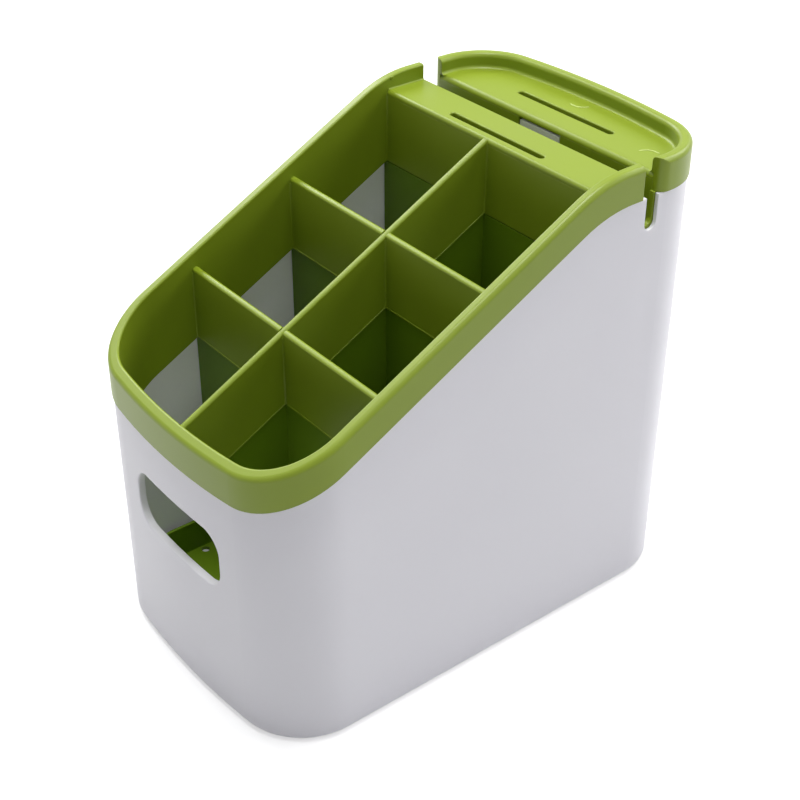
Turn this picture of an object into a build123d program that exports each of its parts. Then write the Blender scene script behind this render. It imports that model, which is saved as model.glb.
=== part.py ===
"""Countertop cutlery and chopstick holder, in millimetres.

A white bucket with a sloping top carries a green organiser with six compartments, two knife slots
and a through slot for a thin board. Under the organiser stands a green drip tray, whose tall dividers
carry the compartments on down to the bottom. X runs across the holder, Y from front to rear, Z up,
and the origin is on the floor under the holder's middle.
"""
from build123d import *
from math import cos, radians, sqrt, tan
import os

# ---- driving dimensions ---------------------------------------------------------------------------
RIM_WIDTH = 131.4              # outer width of the green rim band
RIM_LENGTH = 211.8             # outer length of the green rim band
RIM_FRONT_RADIUS = 30.3        # plan radius of the two front corners
RIM_REAR_RADIUS = 27.2         # plan radius of the two rear corners
FRONT_BOW_RADIUS = 353.0       # slow outward curve of the front end
REAR_BOW_RADIUS = 318.0        # slow outward curve of the rear end
TOP_HEIGHT = 196.7             # level part of the rim, above the floor
SLOPE_ANGLE = 27.4             # fall of the rim towards the front, degrees
KNEE_SETBACK = 0.1             # where the slope meets the level, behind the front edge of the decks
KNEE_RADIUS = 52.0             # blend between the sloping and the level rim

BAND_SLOPE_DEPTH = 14.3        # height of the rim band on the slope
BAND_LEVEL_DEPTH = 13.3        # height of the rim band on the level
RIM_OUTER_FILLET = 2.2
RIM_INNER_FILLET = 0.8
REAR_RIM_WIDTH = 5.4           # width of the rim's top round the rear deck
REAR_RIM_FILLET = 2.0          # inner edge of the rim round the rear deck
RIM_END_RADIUS = 4.0           # upright outer corners of the rim band behind the board slot

SHELL_SETBACK = 0.6            # shell face behind the face of the rim band
SHELL_WALL = 1.6
SHELL_FLOOR = 2.5
SHELL_BASE_FILLET = 3.6
FOOT_RING_WIDTH = 9.0          # flat ring that the shell stands on
FOOT_RING_HEIGHT = 0.8

SKIRT_WALL = 2.1               # organiser wall that drops inside the shell
SKIRT_CLEARANCE = 0.3          # between that wall and the shell
BAND_CLEARANCE = 0.2           # between the rim band and the shell's top edge

DIVIDER_DROP = 6.5             # divider tops below the rim, on the slope
DIVIDER_DEPTH = 31.2           # organiser dividers, top to bottom
DIVIDER_THICKNESS = 2.7
DIVIDER_FILLET = 1.1
FIRST_DIVIDER = 53.1           # middle of the first cross divider behind the front of the rim
CROSS_DIVIDERS = 2
SEAM_GAP = 0.5                 # between organiser dividers and tray dividers

DECK_DROP = 6.5                # both knife decks below the rim
DECK_THICKNESS = 2.5
DECK_EDGE_FILLET = 1.6         # front edge of the front deck
REAR_DECK_EDGE_FILLET = 2.2    # front edge of the rear deck
FRONT_DECK_DEPTH = 19.2        # front knife deck, front to rear
REAR_DECK_DEPTH = 30.0         # rear knife deck, front to rear
BOARD_SLOT_WIDTH = 9.1         # gap for a board between the two decks
DECK_WALL = 1.8                # walls under the edges of the decks
REAR_WALL_DEPTH = 20.0         # wall behind the board slot, below the deck

KNIFE_SLOT_LENGTH = 53.6
KNIFE_SLOT_WIDTH = 2.8
KNIFE_SLOT_FILLET = 0.6        # rounding of the mouth of a knife slot
FRONT_KNIFE_SLOT = 5.5         # middle of the slot behind the front edge of its deck
REAR_KNIFE_SLOT = 13.4         # middle of the slot behind the front edge of the rear deck

NOTCH_WIDTH = 6.1              # U notches in the shell for the ends of the board
NOTCH_DROP = 27.3              # lower end of those notches below the rim
NOTCH_SETBACK = 0.3            # rear side of the shell's notch before the rear of the board slot
SKIRT_NOTCH_WIDTH = 5.0        # U notches in the organiser's skirt
SKIRT_NOTCH_SETBACK = 0.9      # rear side of the skirt's notch before the rear of the board slot
SKIRT_NOTCH_DROP = 26.2        # lower end of those notches below the rim

PARTITION_WALL = 1.6           # wall across the shell that closes off the rear knife bay
TONGUE_WIDTH = 22.8            # tongue on the partition that locates the organiser
TONGUE_TOP_GAP = 0.8           # between the tongue and the deck above it
TONGUE_SIDE_GAP = 0.5
TONGUE_SETBACK = 0.2           # tongue's face behind the face of the board slot
TONGUE_FILLET = 0.6

HAND_HOLE_WIDTH = 57.0
HAND_HOLE_HEIGHT = 25.3
HAND_HOLE_DROP = 34.0          # upper side of a hand hole below the front of the rim
HAND_HOLE_RADIUS = 9.2
HAND_HOLE_GAP = 1.2            # between the lip of the front hand hole and the skirt above it
HAND_HOLE_FILLET = 0.6
LIP_WIDTH = 1.1                # width of the lip round a hand hole, inside
LIP_DEPTH = 1.5                # how far the lip stands in from the wall
LIP_CLEARANCE = 0.3            # between the lip and the tray as it is lifted past

TRAY_WALL = 1.5
TRAY_FLOOR = 1.5
TRAY_REST_GAP = 0.2            # under the tray
TRAY_TOP = 18.6                # rim of the tray above the floor
TRAY_BASE_FILLET = 1.0
TRAY_REAR_GAP = 1.2            # between the tray and the partition
TRAY_REAR_RADIUS = 4.0
TRAY_DIVIDER_THICKNESS = 1.6
TRAY_DIVIDER_GAP = 0.5         # between the tray's dividers and the side walls of the shell
FINGER_ROOM = 21.0             # the tray's long divider starts this far behind the front
DRAIN_DIAMETER = 3.6           # drain hole in the corner of each compartment
DRAIN_EDGE = 1.0               # from the edge of a drain hole to the tray wall
DRAIN_SETBACK = 8.3            # middle of a drain hole in front of the divider behind it

# ---- values worked out from them ------------------------------------------------------------------
FRONT = -RIM_LENGTH / 2
REAR = RIM_LENGTH / 2
SLOPE = tan(radians(SLOPE_ANGLE))
FAR = 2 * RIM_LENGTH           # beyond everything, for cutting blocks

SHELL_INSET = SHELL_SETBACK + SHELL_WALL
SKIRT_INSET = SHELL_INSET + SKIRT_CLEARANCE
INNER_INSET = SKIRT_INSET + SKIRT_WALL
TRAY_INSET = SHELL_INSET + LIP_DEPTH + LIP_CLEARANCE
SHELL_HALF = RIM_WIDTH / 2 - SHELL_INSET
INNER_HALF = RIM_WIDTH / 2 - INNER_INSET
TRAY_HALF = RIM_WIDTH / 2 - TRAY_INSET - TRAY_WALL

BAND_LEVEL = TOP_HEIGHT - BAND_LEVEL_DEPTH
TOP_FACE_ANGLE = 40.0          # a face that leans less than this from level is a top face
ON_LINE = 0.01                 # a point closer than this to a line is on it

SLOT_REAR_Y = REAR - INNER_INSET - REAR_DECK_DEPTH
DECK_REAR_Y = SLOT_REAR_Y - BOARD_SLOT_WIDTH
DECK_FRONT_Y = DECK_REAR_Y - FRONT_DECK_DEPTH
DECK_HEIGHT = TOP_HEIGHT - DECK_DROP
DECK_BOTTOM = DECK_HEIGHT - DECK_THICKNESS

FIRST_CROSS_Y = FRONT + FIRST_DIVIDER
PITCH = (DECK_FRONT_Y - FIRST_CROSS_Y) / CROSS_DIVIDERS
CROSS_Y = [FIRST_CROSS_Y + step * PITCH for step in range(CROSS_DIVIDERS)]

KNEE_Y = DECK_FRONT_Y + KNEE_SETBACK
SEAM_DROP = DIVIDER_DROP + DIVIDER_DEPTH
SEAM_LEVEL = TOP_HEIGHT - SEAM_DROP - KNEE_SETBACK * SLOPE
HAND_HOLE_TOP = TOP_HEIGHT - (KNEE_Y - FRONT) * SLOPE - HAND_HOLE_DROP
HAND_HOLE_CENTRE = HAND_HOLE_TOP - HAND_HOLE_HEIGHT / 2
SKIRT_FRONT_LEVEL = HAND_HOLE_TOP + LIP_WIDTH + HAND_HOLE_GAP

PARTITION_Y = SLOT_REAR_Y + TONGUE_SETBACK
PARTITION_TOP = SEAM_LEVEL - SEAM_GAP
TRAY_REAR_Y = PARTITION_Y - TRAY_REAR_GAP
TRAY_BOTTOM = SHELL_FLOOR + TRAY_REST_GAP
TRAY_FLOOR_TOP = TRAY_BOTTOM + TRAY_FLOOR


# ---- shared shapes --------------------------------------------------------------------------------
def plan(inset, rear_y=None, rear_radius=None):
    """Outline of the holder seen from above, moved in from the face of the rim band by inset.

    Its rear end is straight where rear_y places it, and follows the bowed end of the rim otherwise.
    """
    half = RIM_WIDTH / 2 - inset
    front = FRONT + FRONT_BOW_RADIUS - sqrt((FRONT_BOW_RADIUS - inset) ** 2 - half ** 2)
    front_end = ThreePointArc((-half, front), (0, FRONT + inset), (half, front))
    if rear_y is None:
        rear_y = REAR - REAR_BOW_RADIUS + sqrt((REAR_BOW_RADIUS - inset) ** 2 - half ** 2)
        rear_end = ThreePointArc((half, rear_y), (0, REAR - inset), (-half, rear_y))
        rear_radius = RIM_REAR_RADIUS - inset
    else:
        rear_end = Line((half, rear_y), (-half, rear_y))
    sides = [Line((half, front), (half, rear_y)), Line((-half, rear_y), (-half, front))]
    outline = make_face([front_end, sides[0], rear_end, sides[1]])
    outline = fillet(outline.vertices().group_by(Axis.Y)[0], RIM_FRONT_RADIUS - inset)
    return fillet(outline.vertices().group_by(Axis.Y)[-1], rear_radius)


def on_outline(edge, inset):
    """Whether the middle of an edge lies on the outline of that inset, seen from above."""
    middle = edge @ 0.5
    spot = Vertex(middle.X, middle.Y, 0)
    return min(line.distance_to(spot) for line in plan(inset).edges()) < ON_LINE


def top_faces(solid):
    """Faces of a solid that look up and lean little from level."""
    least = cos(radians(TOP_FACE_ANGLE))
    return [face for face in solid.faces() if face.normal_at(face.center()).Z > least]


def prism(outline, bottom, top):
    """Upright prism of an outline, from bottom to top."""
    return extrude(Pos(0, 0, bottom) * outline, top - bottom)


def block(x_low, x_high, y_low, y_high, z_low, z_high):
    """Box between two corners."""
    middle = ((x_low + x_high) / 2, (y_low + y_high) / 2, (z_low + z_high) / 2)
    return Pos(*middle) * Box(x_high - x_low, y_high - y_low, z_high - z_low)


def below(drop, level, knee_radius=None):
    """Everything under a surface that runs drop below the sloping rim and is level at the rear.

    The bend between the two is sharp without a knee radius.
    """
    knee_y = KNEE_Y + (level + drop - TOP_HEIGHT) / SLOPE
    start = level + (2 * FRONT - knee_y) * SLOPE
    corners = [(2 * FRONT, -FAR), (2 * REAR, -FAR), (2 * REAR, level), (knee_y, level), (2 * FRONT, start)]
    side = make_face(Polyline(*corners, close=True))
    if knee_radius:
        side = fillet(side.vertices().sort_by_distance((knee_y, level, 0))[0], knee_radius)
    return extrude(Plane.YZ * side, RIM_WIDTH, both=True)


def under_organiser():
    """Everything under the organiser's skirt and dividers, which stop short over the hand hole in front."""
    return below(SEAM_DROP, SEAM_LEVEL) + block(-FAR, FAR, 2 * FRONT, REAR, 0, SKIRT_FRONT_LEVEL)


def side_notch(y_middle, width, bottom):
    """U-shaped cutter that runs across the holder, round at its lower end."""
    radius = width / 2
    slot = block(-FAR, FAR, y_middle - radius, y_middle + radius, bottom + radius, FAR)
    return slot + Pos(0, y_middle, bottom + radius) * Rot(0, 90, 0) * Cylinder(radius, 2 * FAR)


def hand_hole(grow, y_low, y_high):
    """Rounded block the shape of a hand hole, enlarged by grow."""
    outline = RectangleRounded(HAND_HOLE_WIDTH + 2 * grow, HAND_HOLE_HEIGHT + 2 * grow,
                               HAND_HOLE_RADIUS + grow)
    return Pos(0, y_high, HAND_HOLE_CENTRE) * extrude(Plane.XZ * outline, y_high - y_low)


# ---- white shell ----------------------------------------------------------------------------------
def outer_shell():
    """Bucket with a sloping top edge, a hand hole in each end and a U notch in each side."""
    shell = prism(plan(SHELL_SETBACK), 0, TOP_HEIGHT)
    shell = fillet(shell.faces().sort_by(Axis.Z)[0].edges(), SHELL_BASE_FILLET)
    shell -= prism(plan(SHELL_INSET), SHELL_FLOOR, FAR)
    shell -= prism(plan(SHELL_SETBACK + SHELL_BASE_FILLET + FOOT_RING_WIDTH), -1, FOOT_RING_HEIGHT)

    lips = prism(plan(SHELL_INSET), SHELL_FLOOR, TOP_HEIGHT)
    lips -= prism(plan(SHELL_INSET + LIP_DEPTH), SHELL_FLOOR, TOP_HEIGHT)
    shell += lips & hand_hole(LIP_WIDTH, 2 * FRONT, 2 * REAR)
    shell -= hand_hole(0, 2 * FRONT, 2 * REAR)
    shell = fillet([edge for edge in shell.edges() if on_hand_hole_mouth(edge)], HAND_HOLE_FILLET)

    shell &= below(BAND_SLOPE_DEPTH + BAND_CLEARANCE, BAND_LEVEL - BAND_CLEARANCE, KNEE_RADIUS)
    notch_y = SLOT_REAR_Y - NOTCH_SETBACK - NOTCH_WIDTH / 2
    return shell - side_notch(notch_y, NOTCH_WIDTH, TOP_HEIGHT - NOTCH_DROP)


def on_hand_hole_mouth(edge):
    """Whether an edge of the shell runs round the outside of a hand hole."""
    middle = edge @ 0.5
    across = abs(middle.X) < HAND_HOLE_WIDTH / 2 + HAND_HOLE_FILLET
    level = abs(middle.Z - HAND_HOLE_CENTRE) < HAND_HOLE_HEIGHT / 2 + HAND_HOLE_FILLET
    return across and level and on_outline(edge, SHELL_SETBACK)


def knife_bay_partition():
    """Wall across the shell, behind the board slot."""
    rear = PARTITION_Y + PARTITION_WALL
    return block(-SHELL_HALF, SHELL_HALF, PARTITION_Y, rear, SHELL_FLOOR, PARTITION_TOP)


def locating_tongue():
    """Tongue on top of the partition that stands in the notch of the organiser's rear slot wall."""
    tongue = block(-TONGUE_WIDTH / 2, TONGUE_WIDTH / 2, PARTITION_Y, PARTITION_Y + PARTITION_WALL,
                   PARTITION_TOP, DECK_BOTTOM - TONGUE_TOP_GAP)
    return fillet(tongue.faces().sort_by(Axis.Z)[-1].edges(), TONGUE_FILLET)


# ---- green organiser ------------------------------------------------------------------------------
def organiser_rim():
    """Rim band that sits on the shell, with the skirt that drops inside it, open at the board slot."""
    hollow = prism(plan(INNER_INSET), -1, FAR) - block(-FAR, FAR, SLOT_REAR_Y, FAR, DECK_HEIGHT, FAR)
    hollow += prism(plan(REAR_RIM_WIDTH), DECK_HEIGHT, FAR)
    band = prism(plan(0), 0, FAR) & below(0, TOP_HEIGHT, KNEE_RADIUS)
    band -= below(BAND_SLOPE_DEPTH, BAND_LEVEL, KNEE_RADIUS)
    band -= hollow + block(-FAR, FAR, DECK_REAR_Y, SLOT_REAR_Y, 0, FAR)
    band = round_top(band, 0, RIM_OUTER_FILLET)
    band = round_top(band, INNER_INSET, RIM_INNER_FILLET)
    band = round_top(band, REAR_RIM_WIDTH, REAR_RIM_FILLET)
    band -= rim_end_corner(-1) + rim_end_corner(1)

    skirt = prism(plan(SKIRT_INSET), 0, FAR) - prism(plan(INNER_INSET), -1, FAR)
    skirt &= below(BAND_SLOPE_DEPTH, BAND_LEVEL, KNEE_RADIUS)
    skirt -= under_organiser()
    notch_y = SLOT_REAR_Y - SKIRT_NOTCH_SETBACK - SKIRT_NOTCH_WIDTH / 2
    skirt -= side_notch(notch_y, SKIRT_NOTCH_WIDTH, TOP_HEIGHT - SKIRT_NOTCH_DROP)
    return band + skirt


def rim_end_corner(side):
    """Cutter that rounds the upright outer corner of the rear rim band, on one side of the holder."""
    middle = (side * (RIM_WIDTH / 2 - RIM_END_RADIUS), SLOT_REAR_Y + RIM_END_RADIUS)
    x_low, x_high = sorted((middle[0], side * RIM_WIDTH))
    corner = block(x_low, x_high, SLOT_REAR_Y, middle[1], 0, 2 * TOP_HEIGHT)
    return corner - Pos(*middle) * Cylinder(RIM_END_RADIUS, FAR)


def round_top(band, inset, radius):
    """Rim band with the top edges that lie on the outline of that inset rounded."""
    tops = top_faces(band)
    return fillet([edge for face in tops for edge in face.edges() if on_outline(edge, inset)], radius)


def divider_plate(x_low, x_high, y_low, y_high):
    """Upright plate of the organiser with its top and bottom along the slope."""
    plate = block(x_low, x_high, y_low, y_high, 0, TOP_HEIGHT)
    plate &= below(DIVIDER_DROP, DECK_HEIGHT)
    long_sides = top_faces(plate)[0].edges().sort_by(SortBy.LENGTH)[-2:]
    plate = fillet(long_sides, DIVIDER_FILLET)
    return plate - under_organiser()


def long_divider():
    """Divider along the middle, from the front of the skirt to the deck wall."""
    half = DIVIDER_THICKNESS / 2
    return divider_plate(-half, half, FRONT + INNER_INSET, DECK_FRONT_Y)


def cross_dividers():
    """Four dividers, two on each side of the long one."""
    half = DIVIDER_THICKNESS / 2
    plates = []
    for y in CROSS_Y:
        plates.append(divider_plate(-INNER_HALF, -half, y - half, y + half))
        plates.append(divider_plate(half, INNER_HALF, y - half, y + half))
    return Compound(children=plates)


def cut_knife_slot(deck, y_middle):
    """Deck with one knife slot through it, with round ends and a rounded mouth."""
    deck -= prism(Pos(0, y_middle) * SlotOverall(KNIFE_SLOT_LENGTH, KNIFE_SLOT_WIDTH), 0, FAR)
    top = deck.faces().sort_by(Axis.Z)[-1]
    return fillet(top.inner_wires()[0].edges(), KNIFE_SLOT_FILLET)


def front_knife_deck():
    """Level strip with one knife slot, in front of the board slot."""
    deck = block(-INNER_HALF, INNER_HALF, DECK_FRONT_Y, DECK_REAR_Y, DECK_BOTTOM, DECK_HEIGHT)
    top = deck.faces().sort_by(Axis.Z)[-1]
    deck = fillet(top.edges().filter_by(Axis.X).sort_by(Axis.Y)[0], DECK_EDGE_FILLET)
    return cut_knife_slot(deck, DECK_FRONT_Y + FRONT_KNIFE_SLOT)


def rear_knife_deck():
    """Level plate with one knife slot, that fills the rim behind the board slot."""
    deck = prism(plan(INNER_INSET), DECK_BOTTOM, DECK_HEIGHT)
    deck -= block(-FAR, FAR, 2 * FRONT, SLOT_REAR_Y, 0, FAR)
    top = deck.faces().sort_by(Axis.Z)[-1]
    deck = fillet(top.edges().filter_by(Axis.X).sort_by(Axis.Y)[0], REAR_DECK_EDGE_FILLET)
    return cut_knife_slot(deck, SLOT_REAR_Y + REAR_KNIFE_SLOT)


def front_deck_wall():
    """Wall under the front edge of the front deck, which closes the rear compartments."""
    return block(-INNER_HALF, INNER_HALF, DECK_FRONT_Y, DECK_FRONT_Y + DECK_WALL, SEAM_LEVEL, DECK_BOTTOM)


def slot_front_wall():
    """Wall in front of the board slot."""
    return block(-INNER_HALF, INNER_HALF, DECK_REAR_Y - DECK_WALL, DECK_REAR_Y, SEAM_LEVEL, DECK_BOTTOM)


def slot_rear_walls():
    """Wall behind the board slot, in two halves with the notch for the tongue between them."""
    notch_half = TONGUE_WIDTH / 2 + TONGUE_SIDE_GAP
    bottom = DECK_BOTTOM - REAR_WALL_DEPTH
    rear = SLOT_REAR_Y + DECK_WALL
    return Compound(children=[block(-INNER_HALF, -notch_half, SLOT_REAR_Y, rear, bottom, DECK_BOTTOM),
                              block(notch_half, INNER_HALF, SLOT_REAR_Y, rear, bottom, DECK_BOTTOM)])


# ---- green tray -----------------------------------------------------------------------------------
def drip_tray():
    """Low tray on the floor of the shell, with a drain hole in the corner of each compartment."""
    tray = prism(plan(TRAY_INSET, TRAY_REAR_Y, TRAY_REAR_RADIUS), TRAY_BOTTOM, TRAY_TOP)
    tray = fillet(tray.faces().sort_by(Axis.Z)[0].edges(), TRAY_BASE_FILLET)
    inner = plan(TRAY_INSET + TRAY_WALL, TRAY_REAR_Y - TRAY_WALL, TRAY_REAR_RADIUS - TRAY_WALL)
    tray -= prism(inner, TRAY_FLOOR_TOP, FAR)
    hole_x = TRAY_HALF - DRAIN_EDGE - DRAIN_DIAMETER / 2
    for y in CROSS_Y + [DECK_FRONT_Y]:
        for x in (-hole_x, hole_x):
            tray -= Pos(x, y - DRAIN_SETBACK, TRAY_BOTTOM) * Cylinder(DRAIN_DIAMETER / 2, FAR)
    return tray


def tray_plate(x_low, x_high, y_low, y_high):
    """Upright plate that stands in the tray and ends just under the organiser."""
    plate = block(x_low, x_high, y_low, y_high, TRAY_FLOOR_TOP, TOP_HEIGHT)
    return plate & below(SEAM_DROP + SEAM_GAP, SEAM_LEVEL - SEAM_GAP)


def tray_long_divider():
    """Divider along the middle of the tray, with finger room in front of it."""
    half = TRAY_DIVIDER_THICKNESS / 2
    return tray_plate(-half, half, FRONT + FINGER_ROOM, DECK_FRONT_Y)


def tray_cross_dividers():
    """Dividers across the tray: two pairs beside the long one, and a whole one behind it."""
    half = TRAY_DIVIDER_THICKNESS / 2
    reach = SHELL_HALF - TRAY_DIVIDER_GAP
    walls = block(-FAR, FAR, 2 * FRONT, 2 * REAR, 0, TRAY_TOP)
    walls -= block(-TRAY_HALF, TRAY_HALF, 2 * FRONT, 2 * REAR, -FAR, FAR)
    plates = []
    for y in CROSS_Y:
        plates.append(tray_plate(-reach, -half, y - half, y + half) - walls)
        plates.append(tray_plate(half, reach, y - half, y + half) - walls)
    plates.append(tray_plate(-reach, reach, DECK_FRONT_Y, DECK_FRONT_Y + TRAY_DIVIDER_THICKNESS) - walls)
    return Compound(children=plates)


if __name__ == "__main__":
    os.makedirs("parts", exist_ok=True)
    nodes = {
        "outer_shell": outer_shell(),
        "knife_bay_partition": knife_bay_partition(),
        "locating_tongue": locating_tongue(),
        "organiser_rim": organiser_rim(),
        "long_divider": long_divider(),
        "cross_dividers": cross_dividers(),
        "front_knife_deck": front_knife_deck(),
        "rear_knife_deck": rear_knife_deck(),
        "front_deck_wall": front_deck_wall(),
        "slot_front_wall": slot_front_wall(),
        "slot_rear_walls": slot_rear_walls(),
        "drip_tray": drip_tray(),
        "tray_long_divider": tray_long_divider(),
        "tray_cross_dividers": tray_cross_dividers(),
    }
    for node, shape in nodes.items():
        export_step(shape, f"parts/{node}.step")
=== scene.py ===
"""Countertop cutlery holder: a white bucket, a green organiser with knife slots, and a green tray.

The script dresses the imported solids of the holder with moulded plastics, adds the moulding details
that the solids leave out, and sets up a studio around it. Everything is in metres, X across the
holder, Y from front to rear and Z up.
"""

import logging
from dataclasses import dataclass, field, replace
from enum import Enum
from itertools import product
from math import atan2, cos, pi, radians, sin, sqrt, tan
from typing import Callable, ClassVar, Iterable

import bmesh
import bpy
from mathutils import Matrix, Vector

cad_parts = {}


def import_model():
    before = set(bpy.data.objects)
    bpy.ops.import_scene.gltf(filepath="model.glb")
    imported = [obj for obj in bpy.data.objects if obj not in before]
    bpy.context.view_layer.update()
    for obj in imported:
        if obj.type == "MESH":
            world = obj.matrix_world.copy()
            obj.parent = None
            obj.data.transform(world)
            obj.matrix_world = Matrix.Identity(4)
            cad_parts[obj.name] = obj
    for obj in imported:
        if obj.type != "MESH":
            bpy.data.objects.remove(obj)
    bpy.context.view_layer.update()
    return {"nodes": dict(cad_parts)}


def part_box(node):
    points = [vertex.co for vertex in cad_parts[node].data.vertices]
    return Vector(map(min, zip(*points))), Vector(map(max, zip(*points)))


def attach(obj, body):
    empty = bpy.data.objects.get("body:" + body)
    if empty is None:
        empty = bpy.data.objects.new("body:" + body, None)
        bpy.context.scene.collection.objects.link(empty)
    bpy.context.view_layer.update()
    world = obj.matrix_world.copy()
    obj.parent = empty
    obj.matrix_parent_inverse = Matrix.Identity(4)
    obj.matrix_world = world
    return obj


LOG = logging.getLogger("cutlery_holder")
MM = 0.001
MERGE_REACH = 0.001 * MM
SMOOTH_BELOW = radians(35.0)
UP = Vector((0.0, 0.0, 1.0))
HOLDER_MIDDLE = Vector((0.0, 0.0, 100.0 * MM))
PLAIN_WHITE = (1.0, 1.0, 1.0, 1.0)

# The hollow side of a fillet is part of a circle with this many corners. A vertex is taken to lie at a
# point of it if it is within this share of the radius.
COVE_CORNERS = 32
COVE_SLACK = 0.01

# A vertex belongs to a piece's outer face if it lies past this share of the piece's thickness.
NEAR_FACE = 0.9

# A Mix node names its sockets alike for each kind of data, so its colour sockets go by number.
MIX_FACTOR, MIX_FIRST, MIX_SECOND, MIX_COLOUR = 0, 6, 7, 2

Colour = tuple[float, float, float]
Place = tuple[float, float, float]
Piece = bpy.types.Object
Socket = bpy.types.NodeSocket


class Body(Enum):
    """The three mouldings that come apart."""

    SHELL = "shell"
    ORGANISER = "organiser"
    TRAY = "tray"


class Slot(Enum):
    """The material slots of the holder."""

    WHITE = "white_plastic"
    GREEN = "green_plastic"
    TRAY = "tray_plastic"


# ---- helpers for shader trees ----------------------------------------------------------------------
class Tree:
    """A thin wrapper round a node tree that adds nodes and joins them."""

    def __init__(self, tree: bpy.types.NodeTree) -> None:
        """Keeps the node tree of a material, of a group or of the world."""
        self.tree = tree

    def node(self, kind: str, **settings: object) -> bpy.types.Node:
        """Adds a node and sets its properties.

        Args:
            kind: the node's type name.
            settings: properties of the node, by name.

        Returns:
            The new node.
        """
        made = self.tree.nodes.new(kind)
        for name, value in settings.items():
            setattr(made, name, value)
        return made

    def join(self, source: Socket, target: Socket) -> None:
        """Links an output to an input."""
        self.tree.links.new(source, target)

    def feed(self, node: bpy.types.Node, values: dict[str, object]) -> bpy.types.Node:
        """Fills a node's named inputs with links or constants.

        Args:
            node: the node to fill.
            values: sockets or constants, by the input's name.

        Returns:
            The same node.
        """
        for name, value in values.items():
            if isinstance(value, Socket):
                self.join(value, node.inputs[name])
            else:
                node.inputs[name].default_value = value
        return node

    def maths(self, operation: str, first: object, second: object, clamp: bool = False) -> Socket:
        """Adds a Math node.

        Args:
            operation: the Math node's operation.
            first: the first value or socket.
            second: the second value or socket.
            clamp: whether the result is held between 0 and 1.

        Returns:
            The node's output.
        """
        made = self.node("ShaderNodeMath", operation=operation, use_clamp=clamp)
        for place, value in enumerate((first, second)):
            if isinstance(value, Socket):
                self.join(value, made.inputs[place])
            else:
                made.inputs[place].default_value = value
        return made.outputs[0]

    def noise(self, vector: Socket, scale: object, detail: float, rough: float) -> Socket:
        """Adds a Noise Texture and gives its value output.

        Args:
            vector: where the pattern is read.
            scale: cells per metre, a value or a socket.
            detail: octaves of finer noise.
            rough: how strong the finer octaves are.

        Returns:
            The noise, from 0 to 1.
        """
        made = self.node("ShaderNodeTexNoise")
        self.feed(made, {"Vector": vector, "Scale": scale, "Detail": detail, "Roughness": rough})
        return made.outputs["Fac"]

    def ramp(self, value: Socket, low: float, high: float) -> Socket:
        """Maps a range of a value to 0..1, with soft ends.

        Args:
            value: the value to map.
            low: the value that gives 0.
            high: the value that gives 1.

        Returns:
            The mapped value.
        """
        made = self.node("ShaderNodeMapRange", interpolation_type="SMOOTHSTEP")
        self.feed(made, {"Value": value, "From Min": low, "From Max": high})
        return made.outputs["Result"]

    def blend(self, amount: Socket, first: Socket, second: Socket) -> Socket:
        """Mixes two colours.

        Args:
            amount: the share of the second colour.
            first: the first colour.
            second: the second colour.

        Returns:
            The mixed colour.
        """
        made = self.node("ShaderNodeMix", data_type="RGBA")
        for place, socket in ((MIX_FACTOR, amount), (MIX_FIRST, first), (MIX_SECOND, second)):
            self.join(socket, made.inputs[place])
        return made.outputs[MIX_COLOUR]

    def seen_ray(self) -> Socket:
        """Tells the rays that show a surface from those that gather light.

        Returns:
            1 for a ray from the camera, from a reflection or through glass, and 0 for the others.
        """
        rays = self.node("ShaderNodeLightPath").outputs
        mirrored = self.maths("MAXIMUM", rays["Is Glossy Ray"], rays["Is Transmission Ray"])
        return self.maths("MAXIMUM", rays["Is Camera Ray"], mirrored)


def new_group(name: str, inputs: dict[str, tuple[str, object]],
              outputs: dict[str, str]) -> tuple[Tree, bpy.types.Node, bpy.types.Node]:
    """Starts a shader node group with named sockets.

    Args:
        name: the group's name.
        inputs: socket type and default value, by socket name.
        outputs: socket type, by socket name.

    Returns:
        The group's tree, its input node and its output node.
    """
    group = bpy.data.node_groups.new(name, "ShaderNodeTree")
    for socket, (kind, value) in inputs.items():
        made = group.interface.new_socket(name=socket, in_out="INPUT", socket_type=kind)
        if value is not None:
            made.default_value = value
    for socket, kind in outputs.items():
        group.interface.new_socket(name=socket, in_out="OUTPUT", socket_type=kind)
    tree = Tree(group)
    return tree, tree.node("NodeGroupInput"), tree.node("NodeGroupOutput")


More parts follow.
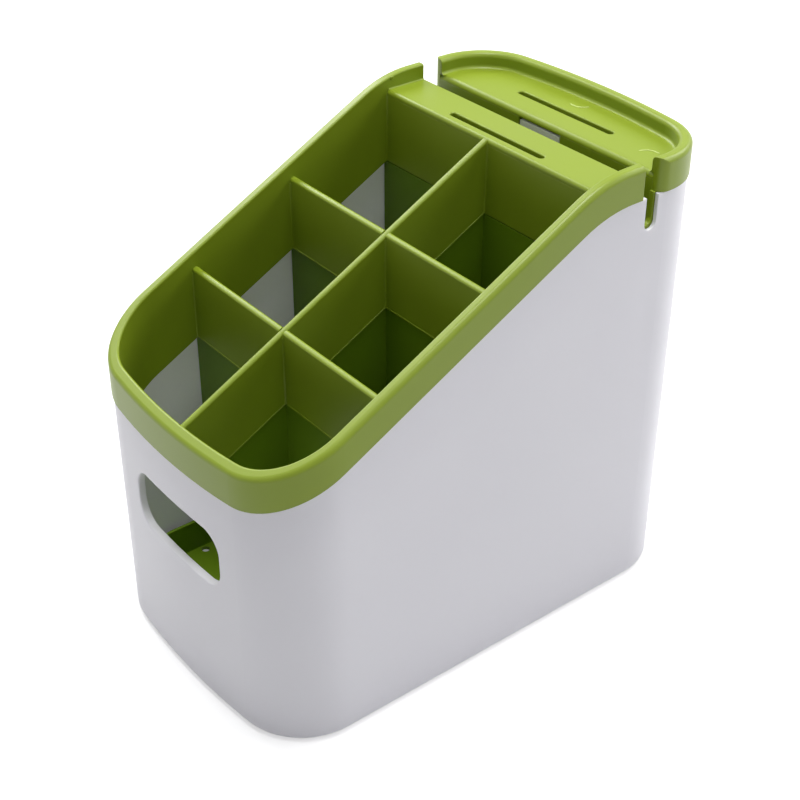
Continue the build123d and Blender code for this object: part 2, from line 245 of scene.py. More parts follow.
# ---- shader groups that the finishes share ---------------------------------------------------------
@dataclass
class SurfaceGroups:
    """The shader groups used by every plastic, each built once."""

    grain: bpy.types.NodeTree = field(init=False)
    handling: bpy.types.NodeTree = field(init=False)
    drift: bpy.types.NodeTree = field(init=False)

    streaks: ClassVar[tuple[tuple[Place, Place], ...]] = (
        ((0.30, 0.50, 0.85), (90.0, 2200.0, 700.0)), ((-0.48, -0.80, -1.36), (1900.0, 80.0, 900.0)))

    def __post_init__(self) -> None:
        """Builds the groups."""
        self.grain = self.build_grain()
        self.handling = self.build_handling()
        self.drift = self.build_drift()

    @staticmethod
    def build_grain() -> bpy.types.NodeTree:
        """Satin mould texture: fine pebbles on the slow waviness of a cooled plastic wall.

        Returns:
            A group that gives the height of the surface, in metres.
        """
        tree, source, target = new_group(
            "moulded_grain",
            {"Vector": ("NodeSocketVector", None), "Pebbles": ("NodeSocketFloat", 3200.0),
             "Pebble Height": ("NodeSocketFloat", 0.012 * MM),
             "Wave Height": ("NodeSocketFloat", 0.05 * MM)},
            {"Height": "NodeSocketFloat"})
        vector = source.outputs["Vector"]
        pebbles = tree.noise(vector, source.outputs["Pebbles"], detail=2.0, rough=0.55)
        waves = tree.noise(vector, scale=26.0, detail=1.0, rough=0.4)
        fine = tree.maths("MULTIPLY", pebbles, source.outputs["Pebble Height"])
        slow = tree.maths("MULTIPLY", waves, source.outputs["Wave Height"])
        tree.join(tree.maths("ADD", fine, slow), target.inputs["Height"])
        return tree.tree

    @staticmethod
    def build_handling() -> bpy.types.NodeTree:
        """Marks of use: dull smudges from hands, and hairline scuffs.

        Returns:
            A group that gives the surface's roughness.
        """
        tree, source, target = new_group(
            "handling_marks",
            {"Vector": ("NodeSocketVector", None), "Roughness": ("NodeSocketFloat", 0.4),
             "Smudges": ("NodeSocketFloat", 0.06), "Scuffs": ("NodeSocketFloat", 0.05)},
            {"Roughness": "NodeSocketFloat"})
        vector = source.outputs["Vector"]
        smudge = tree.ramp(tree.noise(vector, scale=22.0, detail=3.0, rough=0.6), low=0.42, high=0.68)
        streaks = []
        for rotation, stretch in SurfaceGroups.streaks:
            mapping = tree.node("ShaderNodeMapping")
            tree.feed(mapping, {"Vector": vector, "Rotation": rotation, "Scale": stretch})
            lines = tree.noise(mapping.outputs["Vector"], scale=1.0, detail=1.0, rough=0.4)
            streaks.append(tree.ramp(lines, low=0.70, high=0.80))
        patch = tree.ramp(tree.noise(vector, scale=34.0, detail=2.0, rough=0.5), low=0.50, high=0.66)
        scuff = tree.maths("MULTIPLY", tree.maths("MAXIMUM", streaks[0], streaks[1]), patch, clamp=True)
        dull = tree.maths("MULTIPLY", smudge, source.outputs["Smudges"])
        worn = tree.maths("MULTIPLY", scuff, source.outputs["Scuffs"])
        rough = tree.maths("ADD", source.outputs["Roughness"], dull)
        tree.join(tree.maths("ADD", rough, worn, clamp=True), target.inputs["Roughness"])
        return tree.tree

    @staticmethod
    def build_drift() -> bpy.types.NodeTree:
        """Slow drift of a moulded colour, with fine pigment specks.

        Returns:
            A group that gives the colour over the surface.
        """
        tree, source, target = new_group(
            "pigment_drift",
            {"Vector": ("NodeSocketVector", None), "Colour": ("NodeSocketColor", (0.8, 0.8, 0.8, 1.0)),
             "Flow Colour": ("NodeSocketColor", (0.7, 0.7, 0.7, 1.0)), "Amount": ("NodeSocketFloat", 0.3),
             "Speck Colour": ("NodeSocketColor", (0.5, 0.5, 0.5, 1.0)), "Specks": ("NodeSocketFloat", 0.1)},
            {"Colour": "NodeSocketColor"})
        vector = source.outputs["Vector"]
        flow = tree.ramp(tree.noise(vector, scale=13.0, detail=3.0, rough=0.55), low=0.30, high=0.72)
        speck = tree.ramp(tree.noise(vector, scale=1500.0, detail=1.0, rough=0.3), low=0.74, high=0.82)
        drifted = tree.blend(tree.maths("MULTIPLY", flow, source.outputs["Amount"]),
                             source.outputs["Colour"], source.outputs["Flow Colour"])
        specked = tree.blend(tree.maths("MULTIPLY", speck, source.outputs["Specks"]),
                             drifted, source.outputs["Speck Colour"])
        tree.join(specked, target.inputs["Colour"])
        return tree.tree


# ---- finishes --------------------------------------------------------------------------------------
@dataclass(frozen=True)
class MouldedPlastic:
    """A satin injection-moulded plastic."""

    name: str
    colour: Colour
    flow_colour: Colour
    speck_colour: Colour
    roughness: float
    flow: float = 0.35
    specks: float = 0.08
    smudges: float = 0.07
    scuffs: float = 0.05
    pebbles: float = 3200.0
    pebble_height: float = 0.012 * MM
    wave_height: float = 0.05 * MM
    edge_softness: float = 0.35 * MM
    edge_samples: int = 6
    specular: float = 0.45
    refraction: float = 1.49
    translucency: float = 0.0
    scatter_depth: float = 3.0 * MM

    def for_details(self) -> "MouldedPlastic":
        """Gives the same finish for thin details, whose feathered edges are left as they are."""
        return replace(self, name=self.name + "_details", edge_softness=0.0)

    def material(self, groups: SurfaceGroups) -> bpy.types.Material:
        """Builds the material.

        Args:
            groups: the shader groups that the plastics share.

        Returns:
            The material, ready to be given to a piece.
        """
        made = bpy.data.materials.new(self.name)
        made.use_nodes = True
        tree = Tree(made.node_tree)
        shader = made.node_tree.nodes["Principled BSDF"]
        place = tree.node("ShaderNodeTexCoord").outputs["Object"]
        colour = tree.node("ShaderNodeGroup", node_tree=groups.drift)
        tree.feed(colour, {"Vector": place, "Colour": (*self.colour, 1.0), "Amount": self.flow,
                           "Flow Colour": (*self.flow_colour, 1.0),
                           "Speck Colour": (*self.speck_colour, 1.0), "Specks": self.specks})
        marks = tree.node("ShaderNodeGroup", node_tree=groups.handling)
        tree.feed(marks, {"Vector": place, "Roughness": self.roughness,
                          "Smudges": self.smudges, "Scuffs": self.scuffs})
        grain = tree.node("ShaderNodeGroup", node_tree=groups.grain)
        tree.feed(grain, {"Vector": place, "Pebbles": self.pebbles, "Pebble Height": self.pebble_height,
                          "Wave Height": self.wave_height})
        soft = tree.node("ShaderNodeBevel", samples=self.edge_samples)
        soft.inputs["Radius"].default_value = self.edge_softness
        bump = tree.node("ShaderNodeBump")
        tree.feed(bump, {"Height": grain.outputs["Height"], "Strength": 1.0, "Distance": 1.0,
                         "Normal": soft.outputs["Normal"]})
        tree.feed(shader, {"Base Color": colour.outputs["Colour"], "Roughness": marks.outputs["Roughness"],
                           "Normal": bump.outputs["Normal"], "Specular IOR Level": self.specular,
                           "IOR": self.refraction, "Subsurface Weight": self.translucency,
                           "Subsurface Scale": self.scatter_depth, "Subsurface Radius": (1.0, 1.0, 1.0)})
        return made


class Finishes:
    """Every finish of the holder."""

    WHITE = MouldedPlastic("white_shell", colour=(0.87, 0.86, 0.93), flow_colour=(0.85, 0.84, 0.91),
                           speck_colour=(0.45, 0.44, 0.42), roughness=0.36, specks=0.10, translucency=0.30)
    GREEN = MouldedPlastic("green_organiser", colour=(0.238, 0.321, 0.015),
                           flow_colour=(0.224, 0.306, 0.013), speck_colour=(0.14, 0.20, 0.008),
                           roughness=0.36)
    # Painted highlight: this pale green colours the raised ejector crescents to stand in for the glints that
    # light puts on them. The crescents' shape is real.
    GLINT_PAINTED_GREEN = MouldedPlastic("glint_painted_green", colour=(0.52, 0.62, 0.20),
                                    flow_colour=(0.44, 0.54, 0.13), speck_colour=(0.30, 0.38, 0.06),
                                    roughness=0.42)
    TRAY = MouldedPlastic("green_tray", colour=(0.146, 0.251, 0.008), flow_colour=(0.137, 0.237, 0.007),
                          speck_colour=(0.08, 0.14, 0.004), roughness=0.38, specular=0.3)


# ---- modelling by operators ------------------------------------------------------------------------
class Bench:
    """A workbench on which one piece is shaped with Blender's modelling operators."""

    def __init__(self, name: str) -> None:
        """Takes the primitive that has just been added, and goes into edit mode.

        Args:
            name: the piece's name.
        """
        self.piece = bpy.context.object
        self.piece.name = name
        self.piece.data.name = name
        bpy.ops.object.transform_apply(location=True, rotation=True, scale=True)
        bpy.context.view_layer.objects.active = self.piece
        bpy.ops.object.mode_set(mode="EDIT")
        bpy.context.tool_settings.mesh_select_mode = (True, False, False)

    @staticmethod
    def clear() -> None:
        """Deselects everything, before a primitive is added."""
        bpy.ops.object.select_all(action="DESELECT")

    def close(self) -> Piece:
        """Merges doubles, turns the faces outwards, leaves edit mode and shades the piece.

        Returns:
            The finished piece.
        """
        self.pick_all()
        bpy.ops.mesh.remove_doubles(threshold=MERGE_REACH)
        bpy.ops.mesh.normals_make_consistent(inside=False)
        bpy.ops.object.mode_set(mode="OBJECT")
        self.clear()
        self.piece.select_set(True)
        bpy.ops.object.shade_smooth_by_angle(angle=SMOOTH_BELOW)
        return self.piece

    def pick(self, test: Callable[[Vector], bool]) -> None:
        """Selects the vertices whose place passes a test, and nothing else.

        Args:
            test: says whether a vertex at that place is taken.
        """
        mesh = bmesh.from_edit_mesh(self.piece.data)
        for vertex in mesh.verts:
            vertex.select = test(vertex.co)
        mesh.select_flush_mode()
        bmesh.update_edit_mesh(self.piece.data)

    @staticmethod
    def pick_all() -> None:
        """Selects the whole mesh."""
        bpy.ops.mesh.select_all(action="SELECT")

    @staticmethod
    def round_off(reach: float, segments: int) -> None:
        """Bevels the edges that are selected, over a reach to each side."""
        bpy.ops.mesh.bevel(offset=reach, segments=segments, affect="EDGES", clamp_overlap=True)

    @staticmethod
    def push(step: Vector) -> None:
        """Extrudes what is selected along a step."""
        bpy.ops.mesh.extrude_region_move(TRANSFORM_OT_translate={"value": step})

    @staticmethod
    def turn(centre: Vector, angle: float, steps: int) -> None:
        """Extrudes what is selected round an upright axis, from X towards Y if the angle is positive."""
        bpy.ops.mesh.spin(steps=steps, angle=-angle, center=centre, axis=UP)

    @staticmethod
    def trim(point: Vector, normal: Vector) -> None:
        """Cuts away what lies on the normal's side of a plane, and closes the cut."""
        Bench.pick_all()
        bpy.ops.mesh.bisect(plane_co=point, plane_no=normal, use_fill=True, clear_outer=True)


def start_cove(name: str, corner: Vector, first: Vector, second: Vector, radius: float) -> Bench:
    """Starts a hollow fillet: a three-cornered profile with a concave side, filled with a face.

    Args:
        name: the piece's name.
        corner: the inner corner that the fillet fills.
        first: unit step away from the corner along one wall.
        second: unit step away from the corner along the other wall.
        radius: the fillet's radius.

    Returns:
        The bench, in edit mode, with the profile selected.
    """
    middle = corner + (first + second) * radius
    facing = first.cross(second).to_track_quat("Z", "Y").to_euler()
    Bench.clear()
    bpy.ops.mesh.primitive_circle_add(vertices=COVE_CORNERS, radius=radius,
                                      location=middle, rotation=facing)
    bench = Bench(name)
    slack = radius * COVE_SLACK
    bench.pick(lambda place: max((place - middle).dot(first), (place - middle).dot(second)) > slack)
    bpy.ops.mesh.delete(type="VERT")
    for wall in (first, second):
        end = corner + wall * radius
        bench.pick(lambda place, end=end: (place - end).length < slack)
        Bench.push(-wall * radius)
    Bench.pick_all()
    bpy.ops.mesh.remove_doubles(threshold=MERGE_REACH)
    bpy.ops.mesh.edge_face_add()
    return bench


def join_pieces(name: str, pieces: list[Piece]) -> Piece:
    """Joins pieces of one moulding into one object.

    Args:
        name: the joined piece's name.
        pieces: the pieces to join.

    Returns:
        The joined piece.
    """
    Bench.clear()
    for piece in pieces:
        piece.select_set(True)
    bpy.context.view_layer.objects.active = pieces[0]
    if len(pieces) > 1:
        bpy.ops.object.join()
    pieces[0].name = name
    pieces[0].data.name = name
    return pieces[0]


def copy_piece(piece: Piece, step: Vector) -> Piece:
    """Copies a piece, moved by a step, with a mesh of its own.

    Args:
        piece: the piece to copy.
        step: how far the copy is moved.

    Returns:
        The copy, with its place in its mesh.
    """
    Bench.clear()
    piece.select_set(True)
    bpy.context.view_layer.objects.active = piece
    bpy.ops.object.duplicate(linked=False)
    bpy.ops.transform.translate(value=step)
    bpy.ops.object.transform_apply(location=True, rotation=True, scale=True)
    return bpy.context.object


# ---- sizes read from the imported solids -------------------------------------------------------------
@dataclass(frozen=True)
class OrganiserSizes:
    """Where the organiser's walls are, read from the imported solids."""

    deck_level: float
    inner_half: float
    front_deck: tuple[float, float]
    slot_rear: float
    rim_half: float
    rim_rear: float
    divider_half: float
    cross_rows: tuple[float, float]
    front_wall: float
    slope: float = radians(27.4)
    knee_setback: float = 0.1 * MM
    divider_depth: float = 31.2 * MM
    divider_fillet: float = 1.1 * MM
    rear_bow: float = 318.0 * MM
    rear_corner: float = 27.2 * MM
    rear_rim_width: float = 5.4 * MM

    @classmethod
    def read(cls) -> "OrganiserSizes":
        """Reads the sizes from the boxes of the organiser's solids.

        Returns:
            The sizes.
        """
        front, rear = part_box("front_knife_deck"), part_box("rear_knife_deck")
        long_box, cross_box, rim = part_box("long_divider"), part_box("cross_dividers"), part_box("organiser_rim")
        half = long_box[1][0]
        return cls(deck_level=rear[1][2], inner_half=front[1][0], front_deck=(front[0][1], front[1][1]),
                   slot_rear=rear[0][1], rim_half=rim[1][0], rim_rear=rim[1][1], divider_half=half,
                   cross_rows=(cross_box[0][1] + half, cross_box[1][1] - half), front_wall=long_box[0][1])

    def divider_top(self, y: float) -> float:
        """Height of the tops of the dividers at a place along the slope."""
        return self.deck_level + (y - self.front_deck[0] - self.knee_setback) * tan(self.slope)

    def divider_foot(self, y: float) -> float:
        """Height of the lower edges of the dividers at a place along the slope."""
        return self.divider_top(y) - self.divider_depth

    def along_slope(self, run: float) -> Vector:
        """Step up the slope that moves a piece to the rear by run."""
        return Vector((0.0, run, run * tan(self.slope)))


# ---- sub-assemblies --------------------------------------------------------------------------------
@dataclass
class Moulding:
    """One of the three mouldings: its solids, its finish and the details that are added to it."""

    nodes: dict[str, Piece]
    groups: SurfaceGroups

    body: ClassVar[Body]
    slot: ClassVar[Slot]
    finish: ClassVar[MouldedPlastic]
    solids: ClassVar[tuple[str, ...]]

    def build(self) -> None:
        """Dresses the solids, then builds and dresses the details."""
        self.dress_solids()
        self.take(self.build_details(), self.finish)

    def build_details(self) -> tuple[Piece, ...]:
        """Builds the details that have the moulding's own finish: none, unless it says otherwise."""
        return ()

    def dress_solids(self) -> None:
        """Gives the moulding's solids their finish."""
        material = self.finish.material(self.groups)
        for name in self.solids:
            node = self.nodes[name]
            if not node.material_slots:
                node.data.materials.append(material)
            for place in node.material_slots:
                place.material = material
            LOG.info("%s: dressed in %s", name, material.name)

    def take(self, pieces: tuple[Piece, ...], finish: MouldedPlastic) -> None:
        """Takes new pieces into the moulding.

        Args:
            pieces: the new pieces.
            finish: their finish.
        """
        if not pieces:
            return
        material = finish.for_details().material(self.groups)
        for piece in pieces:
            piece.data.materials.clear()
            piece.data.materials.append(material)
            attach(piece, self.body.value)
            LOG.info("%s: %d faces, rides on %s", piece.name, len(piece.data.polygons), self.body.value)


@dataclass
class OuterShell(Moulding):
    """The white shell, with what moulding leaves under it: the gate and a ring for each ejector pin."""

    body = Body.SHELL
    slot = Slot.WHITE
    finish = Finishes.WHITE
    solids = ("outer_shell", "knife_bay_partition", "locating_tongue")

    recess_level: float = 0.8 * MM
    gate_radius: float = 2.4 * MM
    gate_tip: float = 0.9 * MM
    gate_height: float = 0.5 * MM
    gate_dimple: float = 0.3 * MM
    gate_bevel: float = 0.06 * MM
    gate_corners: int = 32
    ring_radius: float = 4.0 * MM
    ring_width: float = 0.5 * MM
    ring_height: float = 0.15 * MM
    ring_steps: int = 36
    ring_places: tuple[tuple[float, float], ...] = (
        (-34.0 * MM, -62.0 * MM), (34.0 * MM, -62.0 * MM), (-34.0 * MM, 62.0 * MM), (34.0 * MM, 62.0 * MM))

    def build_details(self) -> tuple[Piece, ...]:
        """Builds the gate and the rings."""
        return self.build_gate(), self.build_rings()

    def build_gate(self) -> Piece:
        """Builds the stub that is left where the plastic was fed in, with a dimple in its end.

        Returns:
            The gate.
        """
        Bench.clear()
        place = (0.0, 0.0, self.recess_level - self.gate_height / 2)
        bpy.ops.mesh.primitive_cylinder_add(vertices=self.gate_corners, radius=self.gate_radius,
                                            depth=self.gate_height, location=place)
        bench = Bench("base_gate")
        low = self.recess_level - self.gate_height * NEAR_FACE
        bench.pick(lambda spot: spot.z < low)
        bpy.ops.mesh.inset(thickness=self.gate_radius - self.gate_tip, depth=0.0)
        Bench.push(UP * self.gate_dimple)
        Bench.pick_all()
        Bench.round_off(self.gate_bevel, segments=2)
        return bench.close()

    def build_rings(self) -> Piece:
        """Builds one ring and copies it to each pin's place.

        Returns:
            The rings, joined.
        """
        Bench.clear()
        first = self.ring_places[0]
        start = (first[0] + self.ring_radius, first[1], self.recess_level - self.ring_height / 2)
        bpy.ops.mesh.primitive_plane_add(size=1.0, location=start, rotation=(pi / 2, 0.0, 0.0))
        bpy.context.object.scale = (self.ring_width, self.ring_height, 1.0)
        bench = Bench("pin_ring")
        Bench.pick_all()
        bpy.ops.mesh.delete(type="ONLY_FACE")
        Bench.pick_all()
        Bench.turn(Vector((*first, 0.0)), 2 * pi, self.ring_steps)
        master = bench.close()
        steps = [Vector((x - first[0], y - first[1], 0.0)) for x, y in self.ring_places[1:]]
        return join_pieces("pin_rings", [master] + [copy_piece(master, step) for step in steps])


@dataclass
class Organiser(Moulding):
    """The green organiser, with its fillets, webs, beads and marks."""

    body = Body.ORGANISER
    slot = Slot.GREEN
    finish = Finishes.GREEN
    solids = ("organiser_rim", "long_divider", "cross_dividers", "front_knife_deck", "rear_knife_deck",
              "front_deck_wall", "slot_front_wall", "slot_rear_walls")

    sizes: OrganiserSizes = field(default_factory=OrganiserSizes.read)
    rear_cove: float = 1.5 * MM
    corner_steps: int = 14
    bow_steps: int = 16
    front_cove: float = 0.7 * MM
    web: float = 0.8 * MM
    web_head: float = 0.6 * MM
    web_gap: float = 0.3 * MM
    bead_height: float = 0.4 * MM
    bead_width: float = 0.15 * MM
    bead_bevel: float = 0.135 * MM
    nub_radius: float = 0.9 * MM
    nub_proud: float = 0.35 * MM
    nub_bevel: float = 0.245 * MM
    nub_corners: int = 20
    nub_setback: float = 2.6 * MM
    nub_rise: float = 4.5 * MM
    mark_radius: float = 5.2 * MM
    mark_width: float = 0.6 * MM
    mark_height: float = 0.2 * MM
    mark_bevel: float = 0.16 * MM
    mark_angle: float = radians(95.0)
    mark_steps: int = 14
    marks: tuple[tuple[tuple[float, float], float], ...] = (
        ((-2.5 * MM, 97.0 * MM), radians(-110.0)), ((49.6 * MM, 80.2 * MM), radians(75.0)))

    def build(self) -> None:
        """Builds and dresses the organiser, and adds the ejector marks on its rear deck. Their raised shape is
        real; their pale colour is a painted highlight standing in for the glints that light puts on them.
        """
        super().build()
        self.take((self.build_marks(),), Finishes.GLINT_PAINTED_GREEN)

    def build_details(self) -> tuple[Piece, ...]:
        """Builds the green details."""
        return (self.build_rear_cove(), self.build_front_coves(), self.build_webs(), self.build_beads(),
                self.build_nub())

    def build_rear_cove(self) -> Piece:
        """Builds the hollow fillet between the rear deck and the rim that stands round it.

        Returns:
            The fillet: up the right side, round a corner, the bowed rear and the other corner, and down.
        """
        at = self.sizes
        half = at.rim_half - at.rear_rim_width
        corner_radius = at.rear_corner - at.rear_rim_width
        bow = at.rear_bow - at.rear_rim_width
        side = half - corner_radius
        bow_middle = at.rim_rear - at.rear_bow
        reach = sqrt((bow - corner_radius) ** 2 - side ** 2)
        corner_y = bow_middle + reach
        lean = atan2(reach, side)
        start = Vector((half, at.slot_rear, at.deck_level))
        bench = start_cove("rear_deck_cove", start, Vector((-1, 0, 0)), UP, self.rear_cove)
        run = Vector((0.0, corner_y - at.slot_rear, 0.0))
        Bench.push(run)
        Bench.turn(Vector((side, corner_y, 0.0)), lean, self.corner_steps)
        Bench.turn(Vector((0.0, bow_middle, 0.0)), pi - 2 * lean, self.bow_steps)
        Bench.turn(Vector((-side, corner_y, 0.0)), lean, self.corner_steps)
        Bench.push(-run)
        return bench.close()

    def build_front_coves(self) -> Piece:
        """Builds the small hollow fillets between the front deck's ends and the rim.

        Returns:
            The two fillets, joined.
        """
        at = self.sizes
        coves = []
        for side in (-1, 1):
            corner = Vector((side * at.inner_half, at.front_deck[0] + self.front_cove, at.deck_level))
            bench = start_cove("front_deck_cove", corner, Vector((-side, 0, 0)), UP, self.front_cove)
            Bench.push(Vector((0.0, at.front_deck[1] - corner.y, 0.0)))
            coves.append(bench.close())
        return join_pieces("front_deck_coves", coves)

    def build_web(self, corner: tuple[float, float], along: int, back: int) -> Piece:
        """Builds the hollow fillet down one upright corner between two walls of the organiser.

        Args:
            corner: the corner's place across the holder and from front to rear.
            along: -1 or 1, the way across the holder in which the open side lies.
            back: -1 or 1, the way from front to rear in which the open side lies.

        Returns:
            The web, cut along the slope at both ends.
        """
        at = self.sizes
        x, y = corner
        spare = self.web * 2
        start = Vector((x, y, at.divider_foot(y) - spare))
        bench = start_cove("divider_web", start, Vector((along, 0, 0)), Vector((0, back, 0)), self.web)
        Bench.push(UP * (at.divider_depth + spare * 2))
        up = Vector((0.0, -sin(at.slope), cos(at.slope)))
        head = Vector((x, y, at.divider_top(y) - at.divider_fillet - self.web_head))
        foot = Vector((x, y, at.divider_foot(y) + self.web_gap))
        Bench.trim(head, up)
        Bench.trim(foot, -up)
        return bench.close()

    def build_webs(self) -> Piece:
        """Builds the webs: four masters at the first crossing, copied along the slope and to the walls.

        Returns:
            The webs, joined.
        """
        at = self.sizes
        first, second = at.cross_rows
        half = at.divider_half
        webs = []
        for along, back in product((-1, 1), (-1, 1)):
            master = self.build_web((along * half, first + back * half), along, back)
            to_row = at.along_slope(second - first)
            to_wall = Vector((-along * (half + at.inner_half), 0.0, 0.0))
            steps = [to_row, to_wall, to_wall + to_row]
            if back < 0:
                to_deck = at.along_slope(at.front_deck[0] - first + half)
                steps += [to_deck, to_deck + to_wall]
            else:
                steps.append(at.along_slope(at.front_wall - first - half))
            webs += [master] + [copy_piece(master, step) for step in steps]
        return join_pieces("divider_webs", webs)

    def build_bead(self, start: Vector, end: Vector, outward: Vector) -> Piece:
        """Builds one half-round bead along the lower edge of a divider.

        Args:
            start: where the divider's lower edge starts.
            end: where it ends, further to the rear or further to the right.
            outward: unit step away from the divider's face.

        Returns:
            The bead.
        """
        run = end - start
        Bench.clear()
        middle = (start + end) / 2 + outward * (self.bead_width / 2)
        middle.z += self.bead_height / 2 + self.web_gap
        bpy.ops.mesh.primitive_cube_add(size=1.0, location=middle)
        across = abs(outward.x) > abs(outward.y)
        length, depth = (self.bead_width, run.y) if across else (run.x, self.bead_width)
        bpy.context.object.scale = (length, depth, self.bead_height)
        bench = Bench("divider_bead")
        face = start.dot(outward) + self.bead_width * NEAR_FACE
        bench.pick(lambda place: place.dot(outward) > face)
        Bench.round_off(self.bead_bevel, segments=4)
        if across:
            for place, lift in ((start, -run.z / 2), (end, run.z / 2)):
                bench.pick(lambda spot, place=place: abs(spot.y - place.y) < self.bead_height)
                bpy.ops.transform.translate(value=(0.0, 0.0, lift))
        return bench.close()

    def build_beads(self) -> Piece:
        """Builds the beads along both faces of every divider's lower edge.

        Returns:
            The beads, joined.
        """
        at = self.sizes
        first, second = at.cross_rows
        half = at.divider_half
        stops = ((at.front_wall, first - half), (first + half, second - half),
                 (second + half, at.front_deck[0]))
        beads = []
        for side in (-1, 1):
            for low, high in stops:
                start = Vector((side * half, low, at.divider_foot(low)))
                end = Vector((side * half, high, at.divider_foot(high)))
                beads.append(self.build_bead(start, end, Vector((side, 0, 0))))
            left, right = sorted((side * half, side * at.inner_half))
            for row, back in product(at.cross_rows, (-1, 1)):
                y = row + back * half
                start = Vector((left, y, at.divider_foot(y)))
                end = Vector((right, y, at.divider_foot(y)))
                beads.append(self.build_bead(start, end, Vector((0, back, 0))))
        return join_pieces("divider_beads", beads)

    def build_mark(self, middle: tuple[float, float], start_angle: float) -> Piece:
        """Builds one slightly raised crescent on the rear deck.

        Args:
            middle: the middle of its circle, across the holder and from front to rear.
            start_angle: where the crescent starts, from X towards Y.

        Returns:
            The crescent, with its edges rounded.
        """
        Bench.clear()
        centre = Vector((*middle, self.sizes.deck_level))
        out = Vector((cos(start_angle), sin(start_angle), 0.0))
        place = centre + out * self.mark_radius + UP * (self.mark_height / 2)
        bpy.ops.mesh.primitive_plane_add(size=1.0, location=place, rotation=(pi / 2, 0.0, start_angle))
        bpy.context.object.scale = (self.mark_width, self.mark_height, 1.0)
        bench = Bench("ejector_mark")
        Bench.pick_all()
        Bench.turn(centre, self.mark_angle, self.mark_steps)
        top = self.sizes.deck_level + self.mark_height * NEAR_FACE
        bench.pick(lambda spot: spot.z > top)
        Bench.round_off(self.mark_bevel, segments=3)
        return bench.close()

    def build_marks(self) -> Piece:
        """Builds the two crescents that the ejector pins leave on the rear deck."""
        marks = [self.build_mark(middle, start_angle) for middle, start_angle in self.marks]
        return join_pieces("ejector_marks", marks)

    def build_nub(self) -> Piece:
        """Builds the small round nub on the rim's left inner side, at the front of the deck.

        Returns:
            The nub.
        """
        at = self.sizes
        Bench.clear()
        place = Vector((self.nub_proud / 2 - at.inner_half, at.front_deck[0] + self.nub_setback,
                        at.deck_level + self.nub_rise))
        bpy.ops.mesh.primitive_cylinder_add(vertices=self.nub_corners, radius=self.nub_radius,
                                            depth=self.nub_proud, location=place,
                                            rotation=(0.0, pi / 2, 0.0))
        bench = Bench("rim_nub")
        inner = self.nub_proud * NEAR_FACE - at.inner_half
        bench.pick(lambda spot: spot.x > inner)
        Bench.round_off(self.nub_bevel, segments=3)
        return bench.close()


@dataclass
class DripTray(Moulding):
    """The green tray with its tall dividers."""

    body = Body.TRAY
    slot = Slot.TRAY
    finish = Finishes.TRAY
    solids = ("drip_tray", "tray_long_divider", "tray_cross_dividers")


# ---- studio ----------------------------------------------------------------------------------------
@dataclass(frozen=True)
class SoftBox:
    """A square soft lamp that points at the middle of the holder."""

    name: str
    place: Place
    size: float
    watts: float

    def build(self) -> None:
        """Adds the lamp."""
        lamp = bpy.data.lights.new(self.name, "AREA")
        lamp.size = self.size
        lamp.energy = self.watts
        holder = bpy.data.objects.new(self.name, lamp)
        bpy.context.scene.collection.objects.link(holder)
        holder.location = self.place
        holder.rotation_euler = (HOLDER_MIDDLE - Vector(self.place)).to_track_quat("-Z", "Y").to_euler()


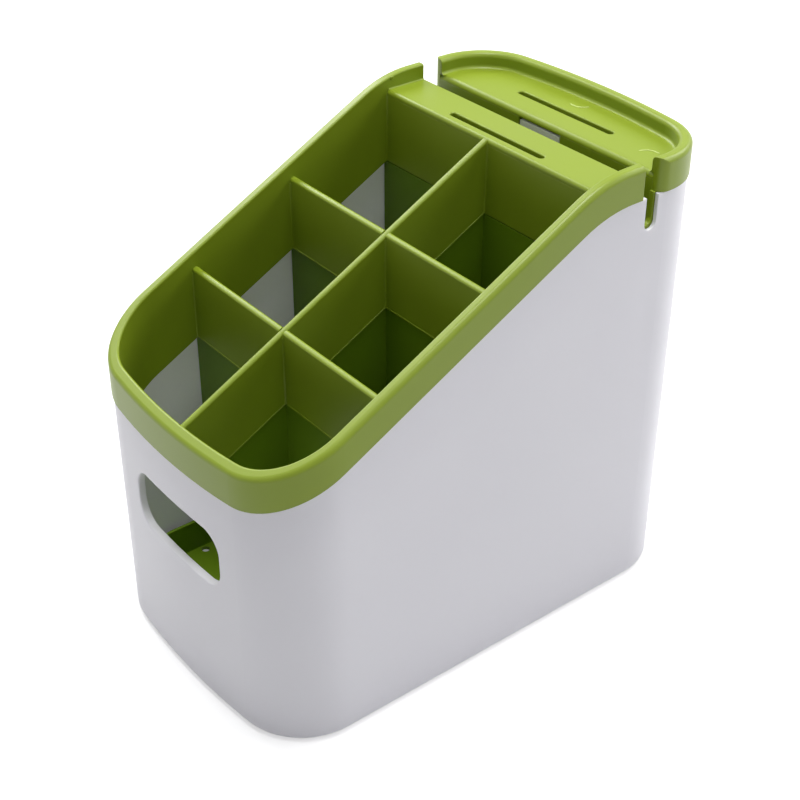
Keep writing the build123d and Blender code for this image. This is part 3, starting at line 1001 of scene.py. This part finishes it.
@dataclass
class Studio:
    """Pale floor, soft lamps and an even sky."""

    floor_size: float = 9.0
    floor_colour: Colour = (0.72, 0.72, 0.72)
    floor_roughness: float = 0.9
    floor_lift: float = 0.50
    lit_reach: float = 0.45
    far_reach: float = 1.60
    sky: float = 0.02
    lamps: tuple[SoftBox, ...] = (
        SoftBox("overhead_softbox", place=(0.0, 0.0, 1.6), size=0.6, watts=17.2),
        SoftBox("rear_softbox", place=(0.1, 1.4, 1.2), size=0.8, watts=12.0),
        SoftBox("left_softbox", place=(-1.4, 0.1, 1.2), size=0.8, watts=17.8),
        SoftBox("right_fill", place=(1.2, 0.0, 1.2), size=0.8, watts=2.7),
        SoftBox("front_fill", place=(-0.5, -1.3, 1.2), size=0.8, watts=2.3),
        SoftBox("rear_right_fill", place=(1.0, 1.1, 1.0), size=0.7, watts=5.0),
        SoftBox("front_right_fill", place=(1.0, -1.1, 1.2), size=0.8, watts=0.6),
    )

    def build(self) -> None:
        """Builds the floor, the sky and the lamps."""
        self.build_floor()
        self.build_sky()
        for lamp in self.lamps:
            lamp.build()

    def build_floor(self) -> None:
        """Adds the floor, which shows as plain white apart from the holder's shadow."""
        Bench.clear()
        bpy.ops.mesh.primitive_plane_add(size=self.floor_size, location=(0.0, 0.0, 0.0))
        floor = bpy.context.object
        floor.name = "studio_floor"
        made = bpy.data.materials.new("studio_floor")
        made.use_nodes = True
        tree = Tree(made.node_tree)
        shader = made.node_tree.nodes["Principled BSDF"]
        away = tree.node("ShaderNodeVectorMath", operation="LENGTH")
        tree.feed(away, {"Vector": tree.node("ShaderNodeTexCoord").outputs["Object"]})
        lift = tree.node("ShaderNodeMapRange")
        tree.feed(lift, {"Value": away.outputs["Value"], "From Min": self.lit_reach,
                         "From Max": self.far_reach, "To Min": self.floor_lift, "To Max": 1.0})
        glow = tree.maths("MULTIPLY", tree.seen_ray(), lift.outputs["Result"])
        tree.feed(shader, {"Base Color": (*self.floor_colour, 1.0), "Roughness": self.floor_roughness,
                           "Specular IOR Level": 0.0, "Emission Color": PLAIN_WHITE,
                           "Emission Strength": glow})
        floor.data.materials.append(made)

    def build_sky(self) -> None:
        """Makes the world an even soft light that looks white."""
        world = bpy.data.worlds.new("studio_sky")
        world.use_nodes = True
        bpy.context.scene.world = world
        tree = Tree(world.node_tree)
        back = world.node_tree.nodes["Background"]
        shown = tree.maths("MULTIPLY", tree.seen_ray(), 1.0 - self.sky)
        tree.feed(back, {"Color": PLAIN_WHITE, "Strength": tree.maths("ADD", shown, self.sky)})


@dataclass
class ProductCamera:
    """The camera, high at the holder's right front."""

    azimuth: float = radians(51.65)
    elevation: float = radians(33.56)
    roll: float = radians(0.18)
    distance: float = 599.8 * MM
    aside: float = 18.33 * MM
    aim: Place = (0.0, -21.41 * MM, 96.47 * MM)
    lens: float = 68.45
    sensor: float = 36.0
    nearest: float = 10.0 * MM

    def build(self) -> None:
        """Adds the camera and makes it the scene's own."""
        flat = cos(self.elevation)
        back = Vector((sin(self.azimuth) * flat, -cos(self.azimuth) * flat, sin(self.elevation)))
        level = (-back).cross(UP).normalized()
        rise = level.cross(-back)
        right = level * cos(self.roll) + rise * sin(self.roll)
        up = rise * cos(self.roll) - level * sin(self.roll)
        data = bpy.data.cameras.new("product_camera")
        data.lens = self.lens
        data.sensor_width = self.sensor
        data.clip_start = self.nearest
        camera = bpy.data.objects.new("product_camera", data)
        bpy.context.scene.collection.objects.link(camera)
        turn = Matrix((right, up, back)).transposed().to_4x4()
        place = Vector(self.aim) + back * self.distance + right * self.aside
        camera.matrix_world = Matrix.Translation(place) @ turn
        bpy.context.scene.camera = camera


def main() -> None:
    """Builds the holder, its finishes and the studio."""
    logging.basicConfig(level=logging.INFO, format="%(name)s %(message)s")
    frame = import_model()
    groups = SurfaceGroups()
    for moulding in (OuterShell, Organiser, DripTray):
        moulding(frame["nodes"], groups).build()
    Studio().build()
    ProductCamera().build()
    bpy.context.scene.view_settings.view_transform = "Standard"


if __name__ == "__main__":
    main()
